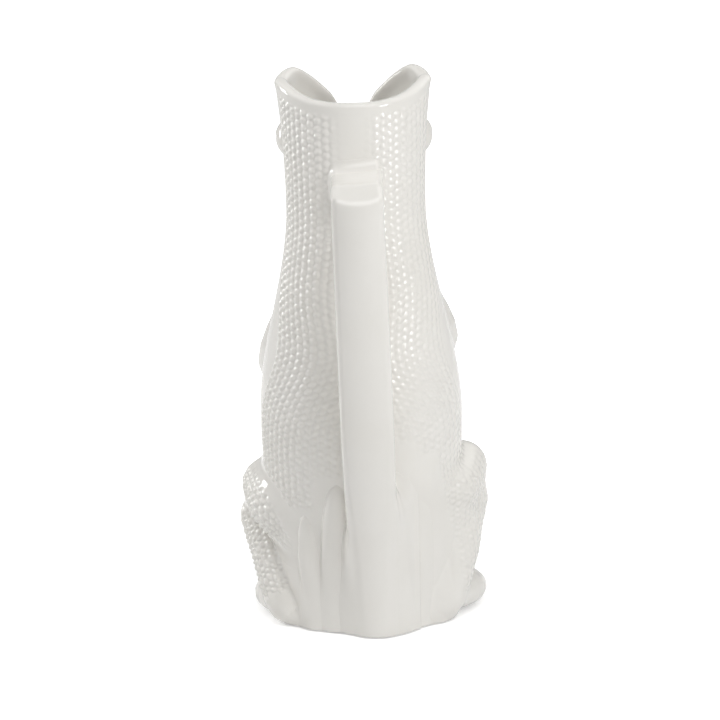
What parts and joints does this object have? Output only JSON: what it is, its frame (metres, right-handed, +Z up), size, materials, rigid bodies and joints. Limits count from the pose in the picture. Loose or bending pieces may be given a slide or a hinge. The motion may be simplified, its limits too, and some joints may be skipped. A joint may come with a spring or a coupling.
{
  "type": "frog pitcher",
  "caption": "White glazed ceramic pitcher shaped as a sitting frog: open mouth with a notched pouring lip, beaded back, folded legs, reed leaves and a stem handle.",
  "frame": {"origin": "on the table, under the middle of the whole pitcher with its handle and feet", "axes": "+Z up from the table to the mouth, +Y the way the frog faces and pours, -Y the handle"},
  "size_m": [0.1378, 0.1472, 0.2984],
  "materials": {
    "white_glaze": "gloss"
  },
  "bodies": {
    "root": {"body_shell": "white_glaze", "handle": "white_glaze", "right_eye": "white_glaze", "left_eye": "white_glaze", "right_foreleg": "white_glaze", "left_foreleg": "white_glaze", "right_hand": "white_glaze", "left_hand": "white_glaze", "right_thigh": "white_glaze", "left_thigh": "white_glaze", "right_shin": "white_glaze", "left_shin": "white_glaze", "right_hind_foot": "white_glaze", "left_hind_foot": "white_glaze", "left_outer_leaf": "white_glaze", "left_inner_leaf": "white_glaze", "right_inner_leaf": "white_glaze", "right_outer_leaf": "white_glaze"}
  },
  "joints": []
}
